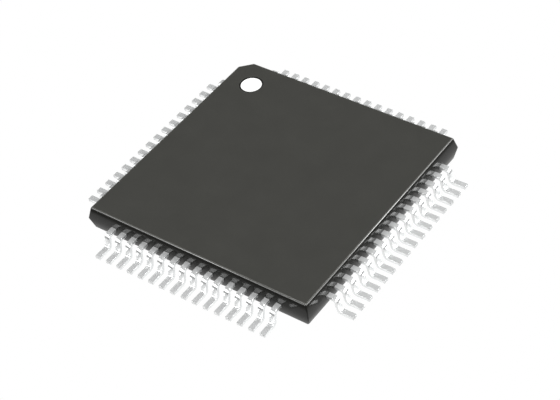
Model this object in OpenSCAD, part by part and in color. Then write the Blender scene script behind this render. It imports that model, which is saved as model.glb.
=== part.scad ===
// Thin quad flat package: a moulded body round a die, its bond wires and a gull-wing lead frame.
// Millimetres, +Z up. The origin is on the seating plane under the middle of the body.
// Lead 1 is at the +Y end of the -X side, and the numbers run anticlockwise seen from above.

/* [Body] */
// Length and width of the body at its parting line
body_size = 10; // [9:0.1:14]
// Height of the body between its two flat faces
body_height = 1; // [1:0.05:1.4]
// Gap between the seating plane and the underside of the body
standoff = 0.1; // [0.05:0.01:0.15]
// Slope of the side walls away from the parting line, in degrees from upright
draft_angle = 14; // [5:1:16]
// Leg of the bevel that marks the corner of lead 1, at the parting line
pin_1_bevel = 0.62; // [0.3:0.02:0.8]
// Leg of the small bevel on each of the other three corners
corner_bevel = 0.06; // [0.04:0.02:0.24]
// Radius where the top face rolls into the side walls
edge_radius = 0.05; // [0.02:0.01:0.1]

/* [Pin 1 Mark] */
// Diameter of the recess beside lead 1
dimple_diameter = 0.96; // [0.6:0.02:1.4]
// Depth of the recess
dimple_depth = 0.05; // [0.03:0.01:0.1]
// Distance from the recess's centre to both body edges
dimple_inset = 1.25; // [0.9:0.05:2]
// Diameter of the filled paint dot
mark_diameter = 0.88; // [0.4:0.02:0.96]
// Thickness of the filled paint dot
mark_thickness = 0.03; // [0.02:0.01:0.05]

/* [Ejector Marks] */
// Diameter of the round ejector marks under the body
ejector_diameter = 1; // [0.6:0.1:1.4]
// Depth of the ejector marks
ejector_depth = 0.04; // [0.02:0.01:0.06]
// Distance from an ejector mark's centre to both body edges
ejector_inset = 1.6; // [1.2:0.1:2]

/* [Outer Leads] */
// Distance between the centres of neighbouring leads
lead_pitch = 0.5; // [0.45:0.01:0.6]
// Leads along each side
leads_per_side = 16; // [16:4:16]
// Width of a lead outside the body
lead_width = 0.22; // [0.17:0.01:0.27]
// Thickness of the lead frame
frame_thickness = 0.127; // [0.1:0.001:0.2]
// Level run from the body's edge to the upper bend
shoulder_length = 0.22; // [0.1:0.02:0.4]
// Inner radius of both bends
bend_radius = 0.09; // [0.06:0.01:0.15]
// Lean of the leg away from upright, in degrees
leg_lean = 10; // [2:1:30]
// Flat length of the foot beyond the lower bend
foot_length = 0.5; // [0.3:0.02:0.7]

/* [Inner Leads] */
// Distance from the body's edge to where the leads begin to fan in, less if the tie bars need it
straight_length = 0.7; // [0.4:0.1:1]
// Least gap between a tie bar and the leads beside it, where their fan begins and at their tips
corner_gap = 0.12; // [0.08:0.02:0.2]
// Distance between the centres of neighbouring inner tips
tip_pitch = 0.3; // [0.25:0.01:0.32]
// Width of an inner tip
tip_width = 0.15; // [0.1:0.01:0.18]
// Gap between the die pad and the inner tips, more if the tie bars need it
tip_gap = 0.35; // [0.25:0.05:0.6]

/* [Die Pad] */
// Side of the square die pad
pad_size = 4.8; // [4.4:0.1:5.2]
// Drop of the die pad below the leads
pad_downset = 0.15; // [0.05:0.01:0.2]
// Width of the tie bars from the pad's corners
tie_bar_width = 0.25; // [0.2:0.01:0.35]
// Level run of a tie bar between the pad's corner and its bend
tie_bar_lead_in = 0.3; // [0.2:0.05:0.5]
// Length over which a tie bar climbs to the level of the leads
tie_bar_ramp = 0.2; // [0.15:0.05:0.4]
// Gap between the end of a tie bar and the body's edge, on both sides of its corner
tie_bar_setback = 0.5; // [0.4:0.05:0.8]

/* [Die] */
// Side of the square die
die_size = 3.6; // [3:0.1:4]
// Thickness of the die
die_thickness = 0.22; // [0.15:0.01:0.25]
// Thickness of the adhesive under the die
attach_thickness = 0.025; // [0.015:0.005:0.04]
// Width of the adhesive that shows round the die
attach_margin = 0.1; // [0.05:0.01:0.2]

/* [Bond Wires] */
// Diameter of a bond wire
wire_diameter = 0.025; // [0.02:0.001:0.033]
// Rise of a wire above the die before it turns to its lead
loop_height = 0.11; // [0.08:0.01:0.14]
// Distance between the centres of neighbouring bonds on the die
bond_pitch = 0.2; // [0.12:0.01:0.2]
// Distance from a bond's centre to the die's edge
bond_inset = 0.1; // [0.06:0.01:0.15]
// Diameter of the ball that joins a wire to the die
ball_diameter = 0.07; // [0.05:0.005:0.09]
// Height of the ball
ball_height = 0.02; // [0.01:0.005:0.03]
// Distance from an inner tip's end to the far end of its wire
stitch_inset = 0.2; // [0.12:0.02:0.3]
// Length of wire that lies flat on the inner tip
stitch_length = 0.08; // [0.05:0.01:0.12]

/* [Hidden] */
arc_steps = 6;
round_faces = 48;
leads_per_node = 2;
wires_per_node = 4;
sides = 4;
overlap = 0.02;
skin = 0.5;

lead_count = sides * leads_per_side;
parting_level = standoff + body_height / 2;
top_level = standoff + body_height;
lead_bottom = parting_level - frame_thickness / 2;
lead_top = parting_level + frame_thickness / 2;
pad_level = parting_level - pad_downset;
attach_bottom = pad_level + frame_thickness / 2;
die_bottom = attach_bottom + attach_thickness;
die_top = die_bottom + die_thickness;

half_body = body_size / 2;
outer_edge = (leads_per_side - 1) / 2 * lead_pitch + lead_width / 2;
outer_tip_edge = (leads_per_side - 1) / 2 * tip_pitch + tip_width / 2;
bar_clearance = tie_bar_width / sqrt(2) + corner_gap;
knee_x = max(half_body - straight_length, outer_edge + bar_clearance);
tip_x = max(pad_size / 2 + tip_gap, outer_tip_edge + bar_clearance);
bond_x = die_size / 2 - bond_inset;
stitch_x = tip_x + stitch_inset;

bend_line = bend_radius + frame_thickness / 2;
bend_turn = 90 - leg_lean;
bend_run = bend_line * sin(bend_turn);
bend_drop = bend_line * (1 - cos(bend_turn));
leg_drop = parting_level - frame_thickness / 2 - 2 * bend_drop;
leg_run = leg_drop * tan(leg_lean);
shoulder_x = half_body + shoulder_length;
foot_x = shoulder_x + 2 * bend_run + leg_run;
lead_end_x = foot_x + foot_length;

lead_colour = "#c9c9c7";
compound_colour = "#40403d";

function two_digits(n) = n < 10 ? str("0", n) : str(n);
function group_name(stem, first, size) =
    str(stem, "_", two_digits(first), "_", two_digits(first + size - 1));
function group_firsts(size) = [for (first = [1 : size : lead_count]) first];

// Places of lead n: its side's turn, and its offset along that side outside and inside the body.
function lead_turn(n) = 180 + 90 * floor((n - 1) / leads_per_side);
function lead_step(n) = (n - 1) % leads_per_side - (leads_per_side - 1) / 2;

// Points of an arc, from one angle to another.
function arc(centre, radius, from, to, steps = arc_steps) =
    [for (i = [0 : steps])
        let (a = from + (to - from) * i / steps)
        centre + radius * [cos(a), sin(a)]];

// Left normal of the path at point i, lengthened so that both offset edges stay parallel to it.
function unit(v) = v / norm(v);
function left(v) = [-v[1], v[0]];
function path_normal(path, i) =
    let (before = i > 0 ? unit(path[i] - path[i - 1]) : unit(path[1] - path[0]))
    let (after = i < len(path) - 1 ? unit(path[i + 1] - path[i]) : before)
    let (mean = unit(left(before) + left(after)))
    mean / (mean * left(after));

// Outline of a strip of even thickness that follows a path.
function ribbon(path, thickness) = concat(
    [for (i = [0 : len(path) - 1]) path[i] + path_normal(path, i) * thickness / 2],
    [for (i = [len(path) - 1 : -1 : 0]) path[i] - path_normal(path, i) * thickness / 2]);

// Middle line of a lead outside the body: shoulder, upper bend, leg, lower bend and foot.
function gull_wing_line() = concat(
    [[knee_x, parting_level]],
    arc([shoulder_x, parting_level - bend_line], bend_line, 90, leg_lean),
    arc([foot_x, frame_thickness / 2 + bend_line], bend_line, 180 + leg_lean, 270),
    [[lead_end_x, frame_thickness / 2]]);

// Outline of a lead inside the body, seen from above, as it narrows and fans in to its tip.
function inner_lead_outline(step) =
    let (outer_y = step * lead_pitch)
    let (tip_y = step * tip_pitch)
    [[knee_x + overlap, outer_y - lead_width / 2],
     [knee_x, outer_y - lead_width / 2],
     [tip_x, tip_y - tip_width / 2],
     [tip_x, tip_y + tip_width / 2],
     [knee_x, outer_y + lead_width / 2],
     [knee_x + overlap, outer_y + lead_width / 2]];

// A profile in the XZ plane, drawn out along Y by an equal length each way.
module across(width) {
    rotate([90, 0, 0])
        linear_extrude(width, center = true)
            children();
}

module lead(step) {
    translate([0, step * lead_pitch, 0])
        across(lead_width)
            polygon(ribbon(gull_wing_line(), frame_thickness));
    translate([0, 0, lead_bottom])
        linear_extrude(frame_thickness)
            polygon(inner_lead_outline(step));
}

module lead_group(first) {
    color(lead_colour)
        for (n = [first : first + leads_per_node - 1])
            rotate(lead_turn(n))
                lead(lead_step(n));
}

// Middle line of a bond wire: up from the ball, over the loop, and down to lie on the lead.
function wire_line(span) =
    let (neck_top = die_top + loop_height)
    let (turn_radius = 2 * wire_diameter)
    let (landing_level = lead_top + wire_diameter / 2)
    let (landing = span - stitch_length)
    let (slope = atan2(neck_top - landing_level, landing - turn_radius))
    concat(
        [[0, die_top + ball_height]],
        arc([turn_radius, neck_top - turn_radius], turn_radius, 180, 90 - slope, 3),
        [[landing, landing_level], [span, landing_level]]);

module bond_wire(step) {
    run = [stitch_x - bond_x, step * (tip_pitch - bond_pitch)];
    translate([bond_x, step * bond_pitch, 0])
        rotate(atan2(run[1], run[0])) {
            across(wire_diameter)
                polygon(ribbon(wire_line(norm(run)), wire_diameter));
            translate([0, 0, die_top])
                cylinder(d = ball_diameter, h = ball_height + wire_diameter / 4, $fn = 8);
        }
}

module wire_group(first) {
    color("#d9a441")
        for (n = [first : first + wires_per_node - 1])
            rotate(lead_turn(n))
                bond_wire(lead_step(n));
}

// Outline of a tie bar in its upright plane through the pad's corner.
function tie_bar_line() =
    let (corner = pad_size / sqrt(2))
    let (bend = corner + tie_bar_lead_in)
    [[corner - tie_bar_width, pad_level],
     [bend, pad_level],
     [bend + tie_bar_ramp, parting_level],
     [(half_body - tie_bar_setback) * sqrt(2), parting_level]];

module die_pad() {
    color("#b87a4b") {
        translate([0, 0, pad_level])
            cube([pad_size, pad_size, frame_thickness], center = true);
        for (side = [0 : sides - 1])
            rotate(45 + 90 * side)
                across(tie_bar_width)
                    polygon(ribbon(tie_bar_line(), frame_thickness));
    }
}

module square_plate(size, level, thickness) {
    translate([-size / 2, -size / 2, level])
        cube([size, size, thickness]);
}

module die_attach() {
    color("#8f949c")
        square_plate(die_size + 2 * attach_margin, attach_bottom, attach_thickness);
}

module silicon_die() {
    color("#5b6470")
        square_plate(die_size, die_bottom, die_thickness);
}

module pin_1_mark() {
    color("white")
        translate([dimple_inset - half_body, half_body - dimple_inset, top_level - dimple_depth])
            cylinder(d = mark_diameter, h = mark_thickness, $fn = round_faces);
}

// Upright section of the body between two parting-line edges, drafted above and below.
function body_section(left_edge, right_edge) =
    let (draft = body_height / 2 * tan(draft_angle))
    let (roll = 90 - draft_angle)
    let (tangent = edge_radius * tan(roll / 2))
    concat(
        [[left_edge + draft, standoff],
         [right_edge - draft, standoff],
         [right_edge, parting_level]],
        arc([right_edge - draft - tangent, top_level - edge_radius], edge_radius, draft_angle, 90),
        arc([left_edge + draft + tangent, top_level - edge_radius], edge_radius, 90, 180 - draft_angle),
        [[left_edge, parting_level]]);

module body_prism(left_edge, right_edge) {
    across(2 * body_size)
        polygon(body_section(left_edge, right_edge));
}

module body_blank() {
    diagonal = half_body * sqrt(2);
    near = diagonal - corner_bevel / sqrt(2);
    intersection() {
        body_prism(-half_body, half_body);
        rotate(90)
            body_prism(-half_body, half_body);
        rotate(-45)
            body_prism(pin_1_bevel / sqrt(2) - diagonal, near);
        rotate(45)
            body_prism(-near, near);
    }
}

module surface_marks() {
    translate([dimple_inset - half_body, half_body - dimple_inset, top_level - dimple_depth])
        cylinder(d = dimple_diameter, h = dimple_depth + skin, $fn = round_faces);
    for (side = [0 : sides - 1])
        rotate(90 * side)
            translate([half_body - ejector_inset, half_body - ejector_inset, standoff - skin])
                cylinder(d = ejector_diameter, h = skin + ejector_depth, $fn = round_faces);
}

module package_body() {
    color(compound_colour)
        difference() {
            body_blank();
            surface_marks();
            for (n = [1 : lead_count])
                rotate(lead_turn(n)) {
                    lead(lead_step(n));
                    bond_wire(lead_step(n));
                }
            die_pad();
            die_attach();
            silicon_die();
        }
}

package_body();
pin_1_mark();
die_pad();
die_attach();
silicon_die();
for (first = group_firsts(leads_per_node))
    lead_group(first);
for (first = group_firsts(wires_per_node))
    wire_group(first);
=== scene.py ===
from math import cos, pi, radians, sin, sqrt, tan

import bmesh
import bpy
from mathutils import Matrix, Vector


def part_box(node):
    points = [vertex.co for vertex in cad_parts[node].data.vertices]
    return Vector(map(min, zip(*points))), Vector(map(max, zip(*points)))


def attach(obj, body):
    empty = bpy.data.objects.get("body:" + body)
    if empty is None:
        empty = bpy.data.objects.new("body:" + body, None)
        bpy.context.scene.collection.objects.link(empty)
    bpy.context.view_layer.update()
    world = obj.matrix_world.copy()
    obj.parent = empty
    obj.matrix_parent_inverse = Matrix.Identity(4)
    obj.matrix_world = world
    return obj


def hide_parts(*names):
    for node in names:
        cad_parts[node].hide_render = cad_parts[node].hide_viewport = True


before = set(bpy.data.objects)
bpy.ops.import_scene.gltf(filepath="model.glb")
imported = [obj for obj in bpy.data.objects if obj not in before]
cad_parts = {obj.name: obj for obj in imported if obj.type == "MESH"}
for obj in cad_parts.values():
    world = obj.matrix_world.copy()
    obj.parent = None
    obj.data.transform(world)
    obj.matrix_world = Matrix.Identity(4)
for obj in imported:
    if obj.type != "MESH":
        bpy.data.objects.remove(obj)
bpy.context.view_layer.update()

mm = 0.001
leadCount = 64
leadsPerSide = leadCount // 4

bodyLow, bodyHigh = (Vector(corner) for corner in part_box("package_body"))
halfBody = (bodyHigh.x - bodyLow.x) / 2
partingLevel = (bodyLow.z + bodyHigh.z) / 2
flatLimit = 0.9999
sameLevel = 1e-7
profileRound = 0.5


def ofKind(geom, kind):
    return [item for item in geom if isinstance(item, kind)]


def finishPiece(bm, name, material, nodes):
    bmesh.ops.recalc_face_normals(bm, faces=bm.faces)
    for face in bm.faces:
        face.smooth = abs(face.normal.z) < flatLimit
    for edge in bm.edges:
        edge.smooth = all(face.smooth for face in edge.link_faces)
    mesh = bpy.data.meshes.new(name)
    bm.to_mesh(mesh)
    bm.free()
    mesh.materials.append(material)
    piece = bpy.data.objects.new(name, mesh)
    bpy.context.scene.collection.objects.link(piece)
    evenNormals = piece.modifiers.new("evenNormals", "WEIGHTED_NORMAL")
    evenNormals.weight = 100
    evenNormals.keep_sharp = True
    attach(piece, "root")
    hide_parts(*nodes)
    return piece


# node helpers

def addNode(tree, kind, inputs=None, **settings):
    node = tree.nodes.new(kind)
    for key, value in settings.items():
        setattr(node, key, value)
    for key, value in (inputs or {}).items():
        if isinstance(value, bpy.types.NodeSocket):
            tree.links.new(value, node.inputs[key])
        else:
            node.inputs[key].default_value = value
    return node


def addLevelRange(tree, level, low, high, lowValue, highValue):
    return addNode(tree, "ShaderNodeMapRange",
        {"Value": level, "From Min": low, "From Max": high, "To Min": lowValue, "To Max": highValue})


def newGroup(name, inputs, outputs):
    tree = bpy.data.node_groups.new(name, "ShaderNodeTree")
    for socketName, kind in inputs:
        tree.interface.new_socket(socketName, in_out="INPUT", socket_type=kind)
    for socketName, kind in outputs:
        tree.interface.new_socket(socketName, in_out="OUTPUT", socket_type=kind)
    return tree, tree.nodes.new("NodeGroupInput"), tree.nodes.new("NodeGroupOutput")


def useGroup(tree, group, inputs):
    return addNode(tree, "ShaderNodeGroup", inputs, node_tree=group)


def newMaterial(name):
    material = bpy.data.materials.new(name)
    material.use_nodes = True
    tree = material.node_tree
    return material, tree, tree.nodes["Principled BSDF"]


def objectPlace(tree):
    return tree.nodes.new("ShaderNodeTexCoord").outputs["Object"]


# shared effects

grainShape = {
    "fineDetail": 3.0,
    "broadDetail": 2.0,
    "tintRange": (0.1, 0.45),
    "roughRange": (0.3, 0.7),
}


def makeGrainGroup():
    # two sizes of noise, as a tint between two colours, a roughness and a height
    tree, source, sink = newGroup("surfaceGrain",
        [("Place", "NodeSocketVector"), ("Fine", "NodeSocketFloat"), ("Broad", "NodeSocketFloat"),
         ("Dark", "NodeSocketColor"), ("Light", "NodeSocketColor"),
         ("Rough Low", "NodeSocketFloat"), ("Rough High", "NodeSocketFloat")],
        [("Color", "NodeSocketColor"), ("Roughness", "NodeSocketFloat"), ("Height", "NodeSocketFloat")])
    fine = addNode(tree, "ShaderNodeTexNoise",
        {"Vector": source.outputs["Place"], "Scale": source.outputs["Fine"],
         "Detail": grainShape["fineDetail"]})
    broad = addNode(tree, "ShaderNodeTexNoise",
        {"Vector": source.outputs["Place"], "Scale": source.outputs["Broad"],
         "Detail": grainShape["broadDetail"]})
    blend = addNode(tree, "ShaderNodeMath",
        {0: fine.outputs["Fac"], 1: broad.outputs["Fac"]}, operation="MULTIPLY")
    spread = addLevelRange(tree, blend.outputs[0], *grainShape["tintRange"], 0.0, 1.0)
    tint = addNode(tree, "ShaderNodeMix",
        {"Factor": spread.outputs[0], 6: source.outputs["Dark"], 7: source.outputs["Light"]},
        data_type="RGBA")
    rough = addLevelRange(tree, broad.outputs["Fac"], *grainShape["roughRange"],
        source.outputs["Rough Low"], source.outputs["Rough High"])
    tree.links.new(tint.outputs[2], sink.inputs["Color"])
    tree.links.new(rough.outputs[0], sink.inputs["Roughness"])
    tree.links.new(fine.outputs["Fac"], sink.inputs["Height"])
    return tree


surfaceGrain = makeGrainGroup()


def addGrain(tree, place, look):
    return useGroup(tree, surfaceGrain,
        {"Place": place, "Fine": look["fine"], "Broad": look["broad"],
         "Dark": look["dark"], "Light": look["light"],
         "Rough Low": look["rough"][0], "Rough High": look["rough"][1]})


def addBump(tree, grain, depth):
    return addNode(tree, "ShaderNodeBump",
        {"Height": grain.outputs["Height"], "Strength": 1.0, "Distance": depth})


def grainMaterial(name, look):
    material, tree, shader = newMaterial(name)
    grain = addGrain(tree, objectPlace(tree), look)
    bump = addBump(tree, grain, look["bump"])
    tree.links.new(grain.outputs["Color"], shader.inputs["Base Color"])
    tree.links.new(grain.outputs["Roughness"], shader.inputs["Roughness"])
    tree.links.new(bump.outputs[0], shader.inputs["Normal"])
    shader.inputs["Metallic"].default_value = look["metal"]
    return material


# moulded body

body = {
    "draft": radians(14),
    "cornerRound": 0.06 * mm,
    "cornerSteps": 2,
    "pinOneBevel": 0.62 * mm,
    "edgeRound": 0.05 * mm,
    "edgeSteps": 5,
    "underRound": 0.01 * mm,
    "underSteps": 2,
    "dimplePlace": (-3.75 * mm, 3.75 * mm),
    "dimpleRadius": 0.48 * mm,
    "dimpleDepth": 0.05 * mm,
    "dimpleRim": 0.015 * mm,
    "rimSteps": 2,
    # reach and slack of the rim mask that carries the painted highlight on the rolled top edge
    "highlightRimReach": 0.9,
    "highlightRimSlack": 1.01,
    "ejectorPlace": 3.4 * mm,
    "ejectorRadius": 0.5 * mm,
    "ejectorDepth": 0.04 * mm,
    "roundSteps": 64,
}


def cornerEdges(bm, xSign, ySign):
    edges = []
    for edge in bm.edges:
        a, b = (v.co for v in edge.verts)
        upright = abs(a.z - b.z) > abs(a.x - b.x) and abs(a.z - b.z) > abs(a.y - b.y)
        if upright and a.x * xSign > 0 and a.y * ySign > 0:
            edges.append(edge)
    return edges


def rimEdges(bm, level):
    return [e for e in bm.edges if all(abs(v.co.z - level) < sameLevel for v in e.verts)]


def bevelEdges(bm, edges, offset, segments):
    bmesh.ops.bevel(bm, geom=edges, offset=offset, segments=segments, profile=profileRound,
        affect="EDGES", offset_type="OFFSET", material=-1)
    bm.normal_update()


def sinkRounds(bm, level, places, radius, depth, rim, steps):
    # opens round holes in the flat face at this level and gives each a wall and a floor
    atLevel = (f for f in bm.faces if abs(f.calc_center_median().z - level) < sameLevel)
    flat = max(atLevel, key=lambda f: f.calc_area())
    outline = list(flat.edges)
    bmesh.ops.delete(bm, geom=[flat], context="FACES_ONLY")
    inward = -1 if level > partingLevel else 1
    rings = []
    for x, y in places:
        made = bmesh.ops.create_circle(bm, cap_ends=False, segments=steps, radius=radius,
            matrix=Matrix.Translation((x, y, level)))
        rings.append([e for e in bm.edges if all(v in made["verts"] for v in e.verts)])
    ringEdges = [e for ring in rings for e in ring]
    bmesh.ops.triangle_fill(bm, edges=outline + ringEdges, use_beauty=True)
    for ring in rings:
        made = bmesh.ops.extrude_edge_only(bm, edges=ring)
        verts = ofKind(made["geom"], bmesh.types.BMVert)
        edges = ofKind(made["geom"], bmesh.types.BMEdge)
        bmesh.ops.translate(bm, verts=verts, vec=(0, 0, inward * depth))
        floor = bmesh.ops.contextual_create(bm, geom=edges)["faces"]
        bmesh.ops.inset_region(bm, faces=floor, thickness=rim * 2)
    bevelEdges(bm, [e for e in ringEdges if e.is_valid], rim, body["rimSteps"])


def markHighlightRim(bm):
    # a mask for the painted highlight on the rolled edge round the top face, clear of the recess
    rimHighlight = bm.loops.layers.float_color.new("rimHighlight")
    for face in bm.faces:
        x, y, _ = face.calc_center_median()
        outer = max(abs(x), abs(y)) > body["highlightRimReach"] * halfBody and abs(face.normal.z) < flatLimit
        rimBase = bodyHigh.z - body["highlightRimSlack"] * body["edgeRound"]
        onRim = outer and min(v.co.z for v in face.verts) > rimBase
        for corner in face.loops:
            corner[rimHighlight] = (1, 1, 1, 1) if onRim else (0, 0, 0, 1)


def makeBody(material):
    bm = bmesh.new()
    size = bodyHigh - bodyLow
    middle = (bodyHigh + bodyLow) / 2
    bmesh.ops.create_cube(bm, size=1,
        matrix=Matrix.Translation(middle) @ Matrix.Diagonal((*size, 1)))
    bmesh.ops.bisect_plane(bm, geom=bm.verts[:] + bm.edges[:] + bm.faces[:],
        plane_co=(0, 0, partingLevel), plane_no=(0, 0, 1))
    inset = size.z / 2 * tan(body["draft"])
    shrink = 1 - inset / halfBody
    ends = [v for v in bm.verts if abs(v.co.z - partingLevel) > size.z / 4]
    bmesh.ops.scale(bm, verts=ends, vec=(shrink, shrink, 1))
    bevelEdges(bm, cornerEdges(bm, -1, 1), body["pinOneBevel"] / sqrt(2), 1)
    for xSign, ySign in ((1, 1), (1, -1), (-1, -1)):
        bevelEdges(bm, cornerEdges(bm, xSign, ySign), body["cornerRound"] / sqrt(2), body["cornerSteps"])
    bevelEdges(bm, rimEdges(bm, bodyHigh.z), body["edgeRound"], body["edgeSteps"])
    bevelEdges(bm, rimEdges(bm, bodyLow.z), body["underRound"], body["underSteps"])
    sinkRounds(bm, bodyHigh.z, [body["dimplePlace"]], body["dimpleRadius"], body["dimpleDepth"],
        body["dimpleRim"], body["roundSteps"])
    place = body["ejectorPlace"]
    marks = [(place, place), (-place, place), (-place, -place), (place, -place)]
    sinkRounds(bm, bodyLow.z, marks, body["ejectorRadius"], body["ejectorDepth"],
        body["dimpleRim"], body["roundSteps"])
    markHighlightRim(bm)
    return finishPiece(bm, "mouldedBody", material, ["package_body"])


mark = {"radius": 0.44 * mm, "round": 0.008 * mm, "roundSteps": 2}


def makePinOneMark(material):
    bm = bmesh.new()
    low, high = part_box("pin_1_mark")
    x, y = body["dimplePlace"]
    bmesh.ops.create_circle(bm, cap_ends=True, segments=body["roundSteps"], radius=mark["radius"],
        matrix=Matrix.Translation((x, y, low[2])))
    made = bmesh.ops.extrude_face_region(bm, geom=bm.faces[:])
    top = ofKind(made["geom"], bmesh.types.BMVert)
    bmesh.ops.translate(bm, verts=top, vec=(0, 0, high[2] - low[2]))
    bevelEdges(bm, rimEdges(bm, high[2]), mark["round"], mark["roundSteps"])
    return finishPiece(bm, "pinOneDot", material, ["pin_1_mark"])


# leads

lead = {
    "pitch": 0.5 * mm,
    "tipPitch": 0.3 * mm,
    "width": 0.22 * mm,
    "tipWidth": 0.15 * mm,
    "thickness": 0.127 * mm,
    "innerEnd": 2.75 * mm,
    "knee": 4.3 * mm,
    "shoulder": 0.22 * mm,
    "bendRadius": 0.09 * mm,
    "lean": radians(10),
    "bendSteps": 7,
    "edgeRound": 0.003 * mm,
    "edgeSteps": 2,
    "endRound": 0.003 * mm,
    "endGap": 0.0001 * mm,
}


def extendEnd(bm, face, step, widen=1.0):
    # draws the end face onwards by one straight step and scales its width about its own middle
    # the face behind it stays inside the lead
    made = bmesh.ops.extrude_face_region(bm, geom=[face])
    newFace = ofKind(made["geom"], bmesh.types.BMFace)[0]
    bmesh.ops.translate(bm, verts=newFace.verts, vec=step)
    if widen != 1.0:
        middle = newFace.calc_center_median()
        bmesh.ops.scale(bm, verts=newFace.verts, vec=(1, widen, 1),
            space=Matrix.Translation(-middle))
    return newFace


def bendEnd(bm, face, centre, angle, steps):
    made = bmesh.ops.spin(bm, geom=[face], cent=centre, axis=(0, 1, 0), dvec=(0, 0, 0),
        angle=angle, steps=steps, use_duplicate=False)
    return ofKind(made["geom_last"], bmesh.types.BMFace)[0]


def makeLead(bm, number):
    step = (number - 1) % leadsPerSide - (leadsPerSide - 1) / 2
    outerY = step * lead["pitch"]
    tipY = step * lead["tipPitch"]
    thickness = lead["thickness"]
    part = bmesh.new()
    start = Matrix.Translation((lead["innerEnd"], tipY, partingLevel))
    turn = start @ Matrix.Rotation(radians(90), 4, "Y")
    bmesh.ops.create_grid(part, x_segments=1, y_segments=1, size=0.5,
        matrix=turn @ Matrix.Diagonal((thickness, lead["tipWidth"], 1, 1)))
    bmesh.ops.bevel(part, geom=part.verts[:], offset=lead["edgeRound"],
        segments=lead["edgeSteps"], profile=profileRound,
        affect="VERTICES", material=-1)
    face = max(part.faces, key=lambda f: f.calc_area())
    face = extendEnd(part, face, (lead["knee"] - lead["innerEnd"], outerY - tipY, 0),
        lead["width"] / lead["tipWidth"])
    bendX = halfBody + lead["shoulder"]
    face = extendEnd(part, face, (bendX - lead["knee"], 0, 0))
    bendLine = lead["bendRadius"] + thickness / 2
    turnAngle = radians(90) - lead["lean"]
    face = bendEnd(part, face, (bendX, outerY, partingLevel - bendLine), turnAngle, lead["bendSteps"])
    legDrop = partingLevel - thickness / 2 - 2 * bendLine * (1 - cos(turnAngle))
    legRun = legDrop * tan(lead["lean"])
    face = extendEnd(part, face, (legRun, 0, -legDrop))
    footX = bendX + 2 * bendLine * sin(turnAngle) + legRun
    face = bendEnd(part, face, (footX, outerY, thickness / 2 + bendLine), -turnAngle, lead["bendSteps"])
    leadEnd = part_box("leads_33_34")[1][0] - lead["endGap"]
    face = extendEnd(part, face, (leadEnd - footX, 0, 0))
    bevelEdges(part, list(face.edges), lead["endRound"], 1)
    for vert in part.verts:
        vert.co.z = max(vert.co.z, lead["endGap"])
    side = radians(180 + 90 * ((number - 1) // leadsPerSide))
    bmesh.ops.rotate(part, verts=part.verts, cent=(0, 0, 0), matrix=Matrix.Rotation(side, 3, "Z"))
    scratch = bpy.data.meshes.new("scratch")
    part.to_mesh(scratch)
    part.free()
    bm.from_mesh(scratch)
    bpy.data.meshes.remove(scratch)


def makeLeadPair(first, material):
    bm = bmesh.new()
    for number in (first, first + 1):
        makeLead(bm, number)
    name = f"{first:02d}_{first + 1:02d}"
    return finishPiece(bm, "leadPair_" + name, material, ["leads_" + name])


# materials

compound = {
    "dark": (0.037, 0.037, 0.0335, 1),
    "light": (0.042, 0.042, 0.038, 1),
    "fine": 26000.0,
    "broad": 900.0,
    "rough": (0.30, 0.33),
    "bump": 0.0003 * mm,
    "wallRough": 0.35,
    # walls and underside are painted darker as shade
    "wallShade": 0.4,
    "faceLevel": 1.085 * mm,
    "gloss": 0.13,
    # gloss and tone of the rolled top rim, which is painted lighter as a highlight
    "rimHighlightGloss": 1.0,
    "rimHighlightTone": 2.1,
}


def makeMouldCompound():
    # all below the face level, walls and underside alike, is painted darker as shade and is smoother; the
    # rolled rim is painted lighter as a highlight and is glossier
    material, tree, shader = newMaterial("mouldCompound")
    place = objectPlace(tree)
    grain = addGrain(tree, place, compound)
    level = addNode(tree, "ShaderNodeSeparateXYZ", {0: place}).outputs["Z"]
    paintedShade = addLevelRange(tree, level, compound["faceLevel"], bodyHigh.z, compound["wallShade"], 1.0)
    rimHighlight = addNode(tree, "ShaderNodeAttribute", attribute_name="rimHighlight")
    rimHighlightTone = addLevelRange(tree, rimHighlight.outputs["Fac"], 0.0, 1.0, 1.0, compound["rimHighlightTone"])
    rough = addLevelRange(tree, level, compound["faceLevel"], bodyHigh.z, compound["wallRough"], 1.0)
    smoother = addNode(tree, "ShaderNodeMath",
        {0: grain.outputs["Roughness"], 1: rough.outputs[0]}, operation="MULTIPLY")
    shadeAndHighlight = addNode(tree, "ShaderNodeMath",
        {0: paintedShade.outputs[0], 1: rimHighlightTone.outputs[0]}, operation="MULTIPLY")
    tinted = addNode(tree, "ShaderNodeVectorMath",
        {0: grain.outputs["Color"], "Scale": shadeAndHighlight.outputs[0]}, operation="SCALE")
    gloss = addLevelRange(tree, rimHighlight.outputs["Fac"], 0.0, 1.0, compound["gloss"], compound["rimHighlightGloss"])
    bump = addBump(tree, grain, compound["bump"])
    tree.links.new(tinted.outputs[0], shader.inputs["Base Color"])
    tree.links.new(smoother.outputs[0], shader.inputs["Roughness"])
    tree.links.new(gloss.outputs[0], shader.inputs["Specular IOR Level"])
    tree.links.new(bump.outputs[0], shader.inputs["Normal"])
    return material


mouldCompound = makeMouldCompound()
paint = {
    "dark": (0.92, 0.92, 0.91, 1),
    "light": (0.95, 0.95, 0.95, 1),
    "fine": 14000.0,
    "broad": 1500.0,
    "rough": (0.5, 0.65),
    # radii over which the dot's rim fades into painted shade
    "shadeStart": 0.405 * mm,
    "shadedRim": 0.43 * mm,
}


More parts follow.
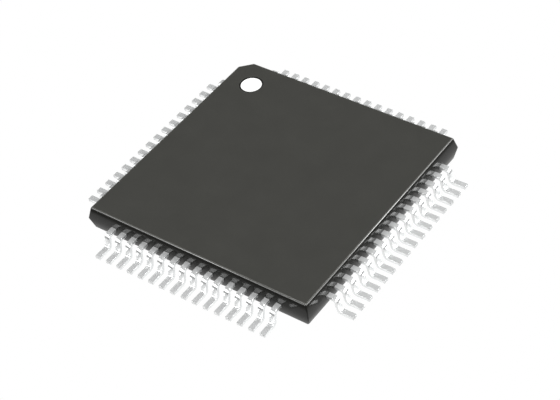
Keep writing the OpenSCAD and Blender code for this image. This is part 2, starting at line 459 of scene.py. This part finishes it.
def makeWhitePaint():
    # printed ink whose rim fades into the compound colour, a painted shade round the dot's edge
    material, tree, shader = newMaterial("whitePaint")
    place = objectPlace(tree)
    grain = addGrain(tree, place, paint)
    x, y = body["dimplePlace"]
    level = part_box("pin_1_mark")[1][2]
    away = addNode(tree, "ShaderNodeVectorMath", {0: place, 1: (x, y, level)}, operation="DISTANCE")
    shadedRim = addLevelRange(tree, away.outputs["Value"], paint["shadeStart"], paint["shadedRim"], 0.0, 1.0)
    inkAndShade = addNode(tree, "ShaderNodeMix",
        {"Factor": shadedRim.outputs[0], 6: grain.outputs["Color"], 7: compound["dark"]}, data_type="RGBA")
    tree.links.new(inkAndShade.outputs[2], shader.inputs["Base Color"])
    tree.links.new(grain.outputs["Roughness"], shader.inputs["Roughness"])
    return material


whitePaint = makeWhitePaint()

tin = {
    "dark": (0.79, 0.80, 0.80, 1),
    "light": (0.82, 0.83, 0.83, 1),
    "rough": (0.12, 0.16),
    "fine": 30000.0,
    "broad": 4000.0,
    "bump": 0.00003 * mm,
    "metal": 0.58,
}
copper = {
    "dark": (0.72, 0.38, 0.22, 1),
    "light": (0.88, 0.52, 0.34, 1),
    "rough": (0.25, 0.4),
    "fine": 20000.0,
    "broad": 2000.0,
    "bump": 0.0005 * mm,
    "metal": 1.0,
}
adhesive = {
    "dark": (0.42, 0.43, 0.45, 1),
    "light": (0.62, 0.63, 0.66, 1),
    "rough": (0.4, 0.6),
    "fine": 24000.0,
    "broad": 3000.0,
    "bump": 0.001 * mm,
    "metal": 0.0,
}
silicon = {
    "dark": (0.10, 0.11, 0.14, 1),
    "light": (0.2, 0.2, 0.26, 1),
    "rough": (0.08, 0.2),
    "fine": 26000.0,
    "broad": 5000.0,
    "bump": 0.0002 * mm,
    "metal": 0.4,
}
gold = {
    "dark": (0.85, 0.6, 0.22, 1),
    "light": (1.0, 0.78, 0.4, 1),
    "rough": (0.2, 0.3),
    "fine": 40000.0,
    "broad": 6000.0,
    "bump": 0.0002 * mm,
    "metal": 1.0,
}
tinPlate = grainMaterial("tinPlate", tin)
rolledCopper = grainMaterial("rolledCopper", copper)
dieAdhesive = grainMaterial("dieAdhesive", adhesive)
polishedSilicon = grainMaterial("polishedSilicon", silicon)
goldWire = grainMaterial("goldWire", gold)
print("materials made")

makeBody(mouldCompound)
makePinOneMark(whitePaint)
for first in range(1, leadCount + 1, 2):
    makeLeadPair(first, tinPlate)
print("pieces made")

# hidden pieces, carried over from the frame

carried = {"die_pad": rolledCopper, "die_attach": dieAdhesive, "silicon_die": polishedSilicon}
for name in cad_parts:
    if name.startswith("bond_wires"):
        carried[name] = goldWire
for name, material in carried.items():
    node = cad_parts[name]
    node.data.materials.clear()
    node.data.materials.append(material)

# stage, light and camera

view = {
    "azimuth": radians(40.98),
    "elevation": radians(43.54),
    "roll": radians(-8.1),
    "distance": 60.77 * mm,
    "shiftRight": 0.114 * mm,
    "shiftUp": -0.255 * mm,
    "focal": 1610.5,
    "imageWidth": 560,
    "sensor": 36.0,
    "nearest": 1 * mm,
}


def makeCamera():
    azimuth, elevation, roll = view["azimuth"], view["elevation"], view["roll"]
    back = Vector((sin(azimuth) * cos(elevation), -cos(azimuth) * cos(elevation), sin(elevation)))
    right = Vector((cos(azimuth), sin(azimuth), 0))
    up = back.cross(right)
    place = right * view["shiftRight"] + up * view["shiftUp"] + back * view["distance"]
    rolledRight = right * cos(roll) + up * sin(roll)
    rolledUp = up * cos(roll) - right * sin(roll)
    turn = Matrix((rolledRight, rolledUp, back)).transposed().to_4x4()
    data = bpy.data.cameras.new("camera")
    data.sensor_width = view["sensor"]
    data.lens = view["focal"] / view["imageWidth"] * view["sensor"]
    data.clip_start = view["nearest"]
    camera = bpy.data.objects.new("camera", data)
    camera.matrix_world = Matrix.Translation(place) @ turn
    bpy.context.scene.collection.objects.link(camera)
    bpy.context.scene.camera = camera


stage = {
    "floorSize": 4.0,
    "floorGlow": 0.14,
    "cardGlow": 1.15,
    "cardEdge": 6.0 * mm,
    "cardFade": 0.5 * mm,
}


def makeFloor():
    # white where the camera sees it, a bright card round the part for all else, clear from below
    bm = bmesh.new()
    bmesh.ops.create_grid(bm, x_segments=1, y_segments=1, size=stage["floorSize"] / 2)
    mesh = bpy.data.meshes.new("floor")
    bm.to_mesh(mesh)
    bm.free()
    material, tree, shader = newMaterial("paleFloor")
    place = addNode(tree, "ShaderNodeSeparateXYZ", {0: objectPlace(tree)})
    across = [addNode(tree, "ShaderNodeMath", {0: place.outputs[axis]}, operation="ABSOLUTE")
        for axis in "XY"]
    reach = addNode(tree, "ShaderNodeMath",
        {0: across[0].outputs[0], 1: across[1].outputs[0]}, operation="MAXIMUM")
    card = addLevelRange(tree, reach.outputs[0], stage["cardEdge"], stage["cardEdge"] + stage["cardFade"],
        stage["cardGlow"], stage["floorGlow"])
    seen = tree.nodes.new("ShaderNodeLightPath")
    glow = addNode(tree, "ShaderNodeMix",
        {"Factor": seen.outputs["Is Camera Ray"], "A": card.outputs[0], "B": 1.0})
    shader.inputs["Base Color"].default_value = (0, 0, 0, 1)
    shader.inputs["Specular IOR Level"].default_value = 0.0
    shader.inputs["Emission Color"].default_value = (1, 1, 1, 1)
    tree.links.new(glow.outputs[0], shader.inputs["Emission Strength"])
    side = tree.nodes.new("ShaderNodeNewGeometry")
    clear = tree.nodes.new("ShaderNodeBsdfTransparent")
    mix = addNode(tree, "ShaderNodeMixShader",
        {0: side.outputs["Backfacing"], 1: shader.outputs[0], 2: clear.outputs[0]})
    tree.links.new(mix.outputs[0], tree.nodes["Material Output"].inputs["Surface"])
    mesh.materials.append(material)
    floor = bpy.data.objects.new("floor", mesh)
    bpy.context.scene.collection.objects.link(floor)


sky = {"horizon": 0.05, "overhead": 0.25, "between": ((0.3, 0.08), (0.6, 0.24)), "backdrop": 0.9}


def evenGrey(level):
    return (level, level, level, 1)


def makeSky():
    # grey overhead, darker towards the horizon, as a light tent would be
    world = bpy.data.worlds.new("lightTent")
    bpy.context.scene.world = world
    world.use_nodes = True
    tree = world.node_tree
    background = tree.nodes["Background"]
    place = tree.nodes.new("ShaderNodeTexCoord").outputs["Generated"]
    parts = addNode(tree, "ShaderNodeSeparateXYZ", {0: place})
    ramp = addNode(tree, "ShaderNodeValToRGB", {0: parts.outputs["Z"]})
    stops = ramp.color_ramp.elements
    stops[0].position, stops[0].color = 0.0, evenGrey(sky["horizon"])
    stops[1].position, stops[1].color = 1.0, evenGrey(sky["overhead"])
    for position, level in sky["between"]:
        stop = stops.new(position)
        stop.color = evenGrey(level)
    seen = tree.nodes.new("ShaderNodeLightPath")
    backdrop = addNode(tree, "ShaderNodeMix",
        {"Factor": seen.outputs["Is Camera Ray"], 6: ramp.outputs["Color"], 7: evenGrey(sky["backdrop"])},
        data_type="RGBA")
    tree.links.new(backdrop.outputs[2], background.inputs["Color"])


lightDistance = 0.3
softLights = {
    "keyLight": {"azimuth": 122, "elevation": 28, "size": (0.34, 0.17), "radiance": 4.6},
    "fillLight": {"azimuth": -35, "elevation": 29, "size": (0.3, 0.15), "radiance": 3.4},
    "keyGleam": {"azimuth": 130, "elevation": 30, "size": (0.07, 0.07), "radiance": 12.0},
    "fillGleam": {"azimuth": -36, "elevation": 34, "size": (0.07, 0.07), "radiance": 5.0},
    "topLight": {"azimuth": 0, "elevation": 90, "size": (0.15, 0.15), "radiance": 8.0},
}


def addSoftLight(name, light):
    data = bpy.data.lights.new(name, "AREA")
    data.shape = "RECTANGLE"
    width, height = light["size"]
    data.size, data.size_y = width, height
    data.energy = light["radiance"] * width * height * pi
    lamp = bpy.data.objects.new(name, data)
    azimuth, elevation = radians(light["azimuth"]), radians(light["elevation"])
    outwards = Vector((sin(azimuth) * cos(elevation), -cos(azimuth) * cos(elevation), sin(elevation)))
    place = outwards * lightDistance
    lamp.matrix_world = Matrix.Translation(place) @ place.to_track_quat("Z", "Y").to_matrix().to_4x4()
    bpy.context.scene.collection.objects.link(lamp)


makeFloor()
makeSky()
for name, light in softLights.items():
    addSoftLight(name, light)
makeCamera()
scene = bpy.context.scene
scene.view_settings.view_transform = "Standard"
scene.view_settings.look = "None"
print("stage made")
